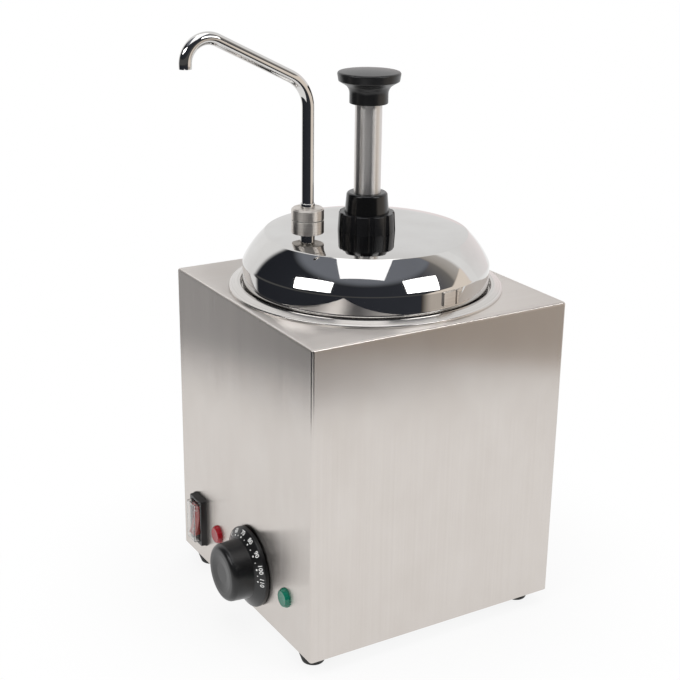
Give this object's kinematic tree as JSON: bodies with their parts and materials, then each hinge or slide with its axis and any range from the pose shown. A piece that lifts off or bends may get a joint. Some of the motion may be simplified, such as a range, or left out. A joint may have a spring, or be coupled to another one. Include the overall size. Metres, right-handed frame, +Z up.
{
  "type": "hot fudge topping warmer",
  "caption": "Square heated casing with a round water well, lift-out fudge pan, and a lid carrying a hand pump with swivel spout; thermostat dial, rocker switch and pilot lamps.",
  "frame": {"origin": "on the supporting surface, under the centre of the casing, in the plane of the feet", "axes": "+Z up along the pump; -Y out of the control panel and the way the spout points at rest; +X to the right when facing the panel"},
  "size_m": [0.215, 0.2726, 0.4484],
  "materials": {
    "casing_steel": "brushed",
    "sheet_steel": "satin",
    "polished_steel": "mirror polished",
    "pan_steel": "satin",
    "screw_steel": "bright",
    "heater_alloy": "heat-tinted",
    "copper_tube": "bright",
    "brass": "bright",
    "black_rubber": "matte",
    "seal_rubber": "matte",
    "black_plastic": "matte",
    "black_gloss": "gloss",
    "white_plastic": "matte",
    "grey_plastic": "matte",
    "red_rocker": "gloss",
    "red_lens": "faceted",
    "green_lens": "faceted",
    "clear_cover": "clear",
    "neon_glass": "clear"
  },
  "bodies": {
    "casing": {"casing_shell": "casing_steel", "base_plate": "sheet_steel", "base_screws": "screw_steel", "foot_front_left": "black_rubber", "foot_front_right": "black_rubber", "foot_rear_left": "black_rubber", "foot_rear_right": "black_rubber", "foot_screws": "screw_steel", "foot_nuts": "screw_steel", "well_tank": "sheet_steel", "heater_ring": "heater_alloy", "heater_straps": "sheet_steel", "strap_nuts": "screw_steel", "heat_shield": "sheet_steel", "shield_posts": "brass", "thermostat_body": "grey_plastic", "thermostat_screws": "screw_steel", "thermostat_bulb": "copper_tube", "bulb_clip": "sheet_steel", "capillary_tube": "copper_tube", "thermal_cutout": "grey_plastic", "terminal_block": "white_plastic", "cable_gland": "black_plastic", "gland_nut": "black_plastic", "switch_housing": "black_plastic", "switch_frame": "black_plastic", "switch_cover": "clear_cover", "switch_terminals": "brass", "pilot_lens_red": "red_lens", "pilot_lens_green": "green_lens", "lamp_body_red": "black_plastic", "lamp_body_green": "black_plastic", "lamp_nuts": "black_plastic", "neon_bulbs": "neon_glass"},
    "rocker": {"rocker": "red_rocker"},
    "dial": {"dial_knob": "black_plastic", "thermostat_spindle": "brass"},
    "pan": {"fudge_pan": "pan_steel"},
    "lid": {"lid": "polished_steel", "lid_lug": "polished_steel", "pump_gasket": "seal_rubber", "pump_cylinder": "polished_steel", "clamp_nut": "black_plastic", "pump_collar": "black_gloss", "valve_body": "white_plastic", "inlet_ball": "polished_steel", "suction_tube": "polished_steel", "discharge_tube": "polished_steel", "tube_locknut": "screw_steel", "stem_ring": "polished_steel", "union_lower": "sheet_steel", "union_seal": "seal_rubber"},
    "plunger": {"plunger_tube": "polished_steel", "push_knob": "black_plastic", "piston": "white_plastic", "piston_seal": "seal_rubber", "return_spring": "screw_steel"},
    "spout": {"union_upper": "sheet_steel", "spout_ring": "polished_steel", "spout": "polished_steel"}
  },
  "joints": [
    {"name": "rocker_press", "type": "hinge", "parent": "casing", "child": "rocker", "pos_m": [-0.0736, -0.1055, 0.0478], "axis": [1, 0, 0], "range_deg": [0, 14]},
    {"name": "dial_turn", "type": "hinge", "parent": "casing", "child": "dial", "pos_m": [0.0153, -0.1075, 0.0478], "axis": [0, -1, 0], "range_deg": [-140, 90]},
    {"name": "pan_lift", "type": "slide", "parent": "casing", "child": "pan", "axis": [0, 0, 1], "range_m": [0, 0.17]},
    {"name": "lid_lift", "type": "slide", "parent": "pan", "child": "lid", "axis": [0, 0, 1], "range_m": [0, 0.16]},
    {"name": "plunger_press", "type": "slide", "parent": "lid", "child": "plunger", "axis": [0, 0, -1], "range_m": [0, 0.04], "stiffness_N_per_m": 300, "springref_m": -0.05, "deforming": ["return_spring"]},
    {"name": "spout_swivel", "type": "hinge", "parent": "lid", "child": "spout", "pos_m": [0, -0.0506, 0.3097], "axis": [0, 0, 1], "range_deg": [-120, 120]}
  ]
}
